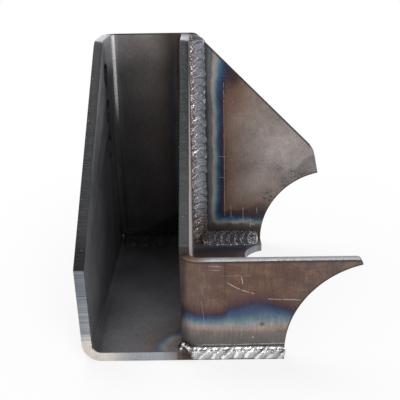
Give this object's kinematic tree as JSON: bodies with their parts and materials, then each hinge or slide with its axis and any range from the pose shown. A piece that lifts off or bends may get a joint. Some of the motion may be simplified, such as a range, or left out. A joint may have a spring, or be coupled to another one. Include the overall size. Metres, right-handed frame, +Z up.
{
  "type": "track bar bracket",
  "caption": "Weld-on bracket of folded steel plate: tapered walls with bolt holes hold a track bar's end, and a gusset and a flange cut to round saddles fit an axle tube.",
  "frame": {"origin": "centre of the part's box on the surface that its floor rests on", "axes": "+X along the track bar bolts, from the outer wall towards the axle saddle; +Y from the open front to the back plate, along the axle tube; +Z up"},
  "size_m": [0.1294, 0.137, 0.1351],
  "materials": {
    "mill_scale_plate": "hot rolled plate with mill scale and heat tint",
    "weld_metal": "as welded"
  },
  "bodies": {
    "root": {"main_plate": "mill_scale_plate", "side_plate": "mill_scale_plate", "wall_weld": "weld_metal", "gusset_weld": "weld_metal", "seam_weld": "weld_metal", "flange_weld": "weld_metal", "corner_tack": "weld_metal"}
  },
  "joints": []
}
